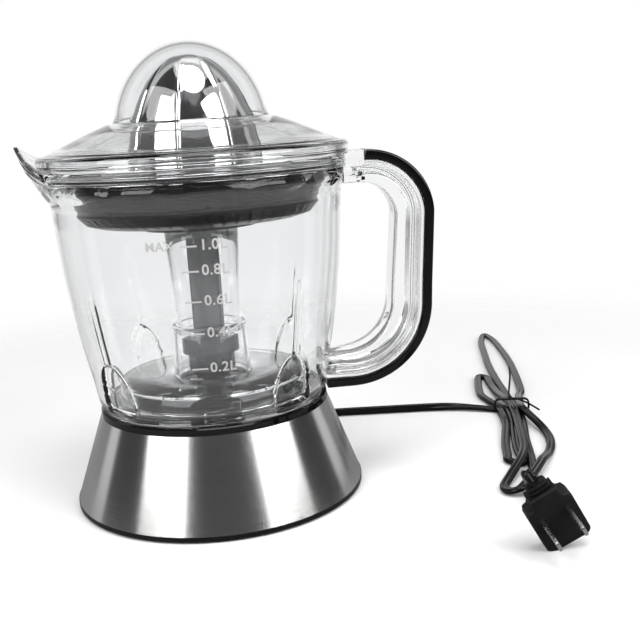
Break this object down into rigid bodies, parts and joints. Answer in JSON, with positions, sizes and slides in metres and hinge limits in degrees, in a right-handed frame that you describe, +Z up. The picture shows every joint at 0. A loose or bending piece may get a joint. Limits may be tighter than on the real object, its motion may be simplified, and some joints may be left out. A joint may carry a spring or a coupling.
{
  "type": "citrus press juicer",
  "caption": "Electric citrus press: steel cone base with geared drive, clear jug with handle and spout, black strainer, ridged steel reamer and clear dust cover.",
  "frame": {"origin": "on the base's axis, at the surface the feet stand on", "axes": "+Z up along the drive axis; +X towards the handle; -X towards the spout; the volume marks face -Y"},
  "size_m": [0.33, 0.4206, 0.2366],
  "materials": {
    "black_plastic": "satin moulded",
    "gloss_black": "high gloss",
    "rubber": "matt",
    "brushed_steel": "brushed round the base",
    "polished_steel": "mirror polished",
    "plain_steel": "plain",
    "bronze": "turned",
    "copper": "enamelled wire",
    "white_plastic": "satin",
    "red_plastic": "satin",
    "grey_plastic": "semi-gloss",
    "clear_plastic": "clear gloss",
    "cord_black": "smooth vinyl",
    "plug_black": "fine satin texture"
  },
  "bodies": {
    "base": {"base_plate": "black_plastic", "rubber_feet": "rubber", "steel_shell": "brushed_steel", "deck": "gloss_black", "deck_bush": "bronze", "assembly_screws": "plain_steel", "gear_plate": "plain_steel", "motor_stator": "plain_steel", "motor_coil": "copper", "motor_brackets": "plain_steel", "idler_pin": "plain_steel", "return_spring": "plain_steel", "micro_switch": "black_plastic", "cord_clamp": "black_plastic", "strain_relief": "cord_black", "power_cord": "cord_black", "cord_tie": "black_plastic", "plug_body": "plug_black", "plug_blades": "plain_steel"},
    "motor": {"motor_rotor": "plain_steel", "motor_pinion": "bronze"},
    "idler": {"idler_gear": "white_plastic"},
    "press_carrier": {"press_plate": "white_plastic"},
    "drive": {"spindle": "plain_steel", "output_gear": "white_plastic", "drive_dog": "black_plastic", "drive_shaft": "grey_plastic"},
    "switch_button": {"switch_plunger": "red_plastic"},
    "jug": {"jug_body": "clear_plastic", "handle_frame": "clear_plastic", "handle_strip": "gloss_black"},
    "strainer": {"strainer": "black_plastic", "stem_tube": "clear_plastic"},
    "bush": {"stem_bush": "white_plastic"},
    "washer": {"thrust_washer": "plain_steel"},
    "reamer": {"reamer_shell": "polished_steel", "reamer_core": "black_plastic"},
    "cover": {"dust_cover": "clear_plastic"}
  },
  "joints": [
    {"name": "spindle_press", "type": "slide", "parent": "base", "child": "press_carrier", "axis": [0, 0, 1], "range_m": [-0.0025, 0], "stiffness_N_per_m": 2500, "springref_m": 0.005, "deforming": ["return_spring"]},
    {"name": "drive_spin", "type": "hinge", "parent": "press_carrier", "child": "drive", "pos_m": [0, 0, 0.05], "axis": [0, 0, 1], "continuous": true},
    {"name": "idler_spin", "type": "hinge", "parent": "base", "child": "idler", "pos_m": [-0.03, 0, 0.04], "axis": [0, 0, 1], "continuous": true},
    {"name": "motor_spin", "type": "hinge", "parent": "base", "child": "motor", "pos_m": [-0.03417, 0.02364, 0.03], "axis": [0, 0, 1], "continuous": true},
    {"name": "switch_press", "type": "slide", "parent": "base", "child": "switch_button", "axis": [0, 0, 1], "range_m": [-0.0019, 0]},
    {"name": "jug_lift", "type": "slide", "parent": "base", "child": "jug", "axis": [0, 0, 1], "range_m": [0, 0.14]},
    {"name": "strainer_lift", "type": "slide", "parent": "jug", "child": "strainer", "axis": [0, 0, 1], "range_m": [0, 0.07]},
    {"name": "reamer_lift", "type": "slide", "parent": "strainer", "child": "bush", "axis": [0, 0, 1], "range_m": [0, 0.05]},
    {"name": "reamer_press", "type": "slide", "parent": "bush", "child": "washer", "axis": [0, 0, 1], "range_m": [-0.0025, 0]},
    {"name": "reamer_spin", "type": "hinge", "parent": "washer", "child": "reamer", "pos_m": [0, 0, 0.18], "axis": [0, 0, 1], "continuous": true},
    {"name": "cover_lift", "type": "slide", "parent": "bush", "child": "cover", "axis": [0, 0, 1], "range_m": [0, 0.08]}
  ],
  "couplings": [
    {"joint": "reamer_press", "follows": "spindle_press", "ratio": 1},
    {"joint": "switch_press", "follows": "spindle_press", "ratio": 0.75},
    {"joint": "reamer_spin", "follows": "drive_spin", "ratio": 1},
    {"joint": "idler_spin", "follows": "drive_spin", "ratio": -4},
    {"joint": "motor_spin", "follows": "drive_spin", "ratio": 20}
  ]
}
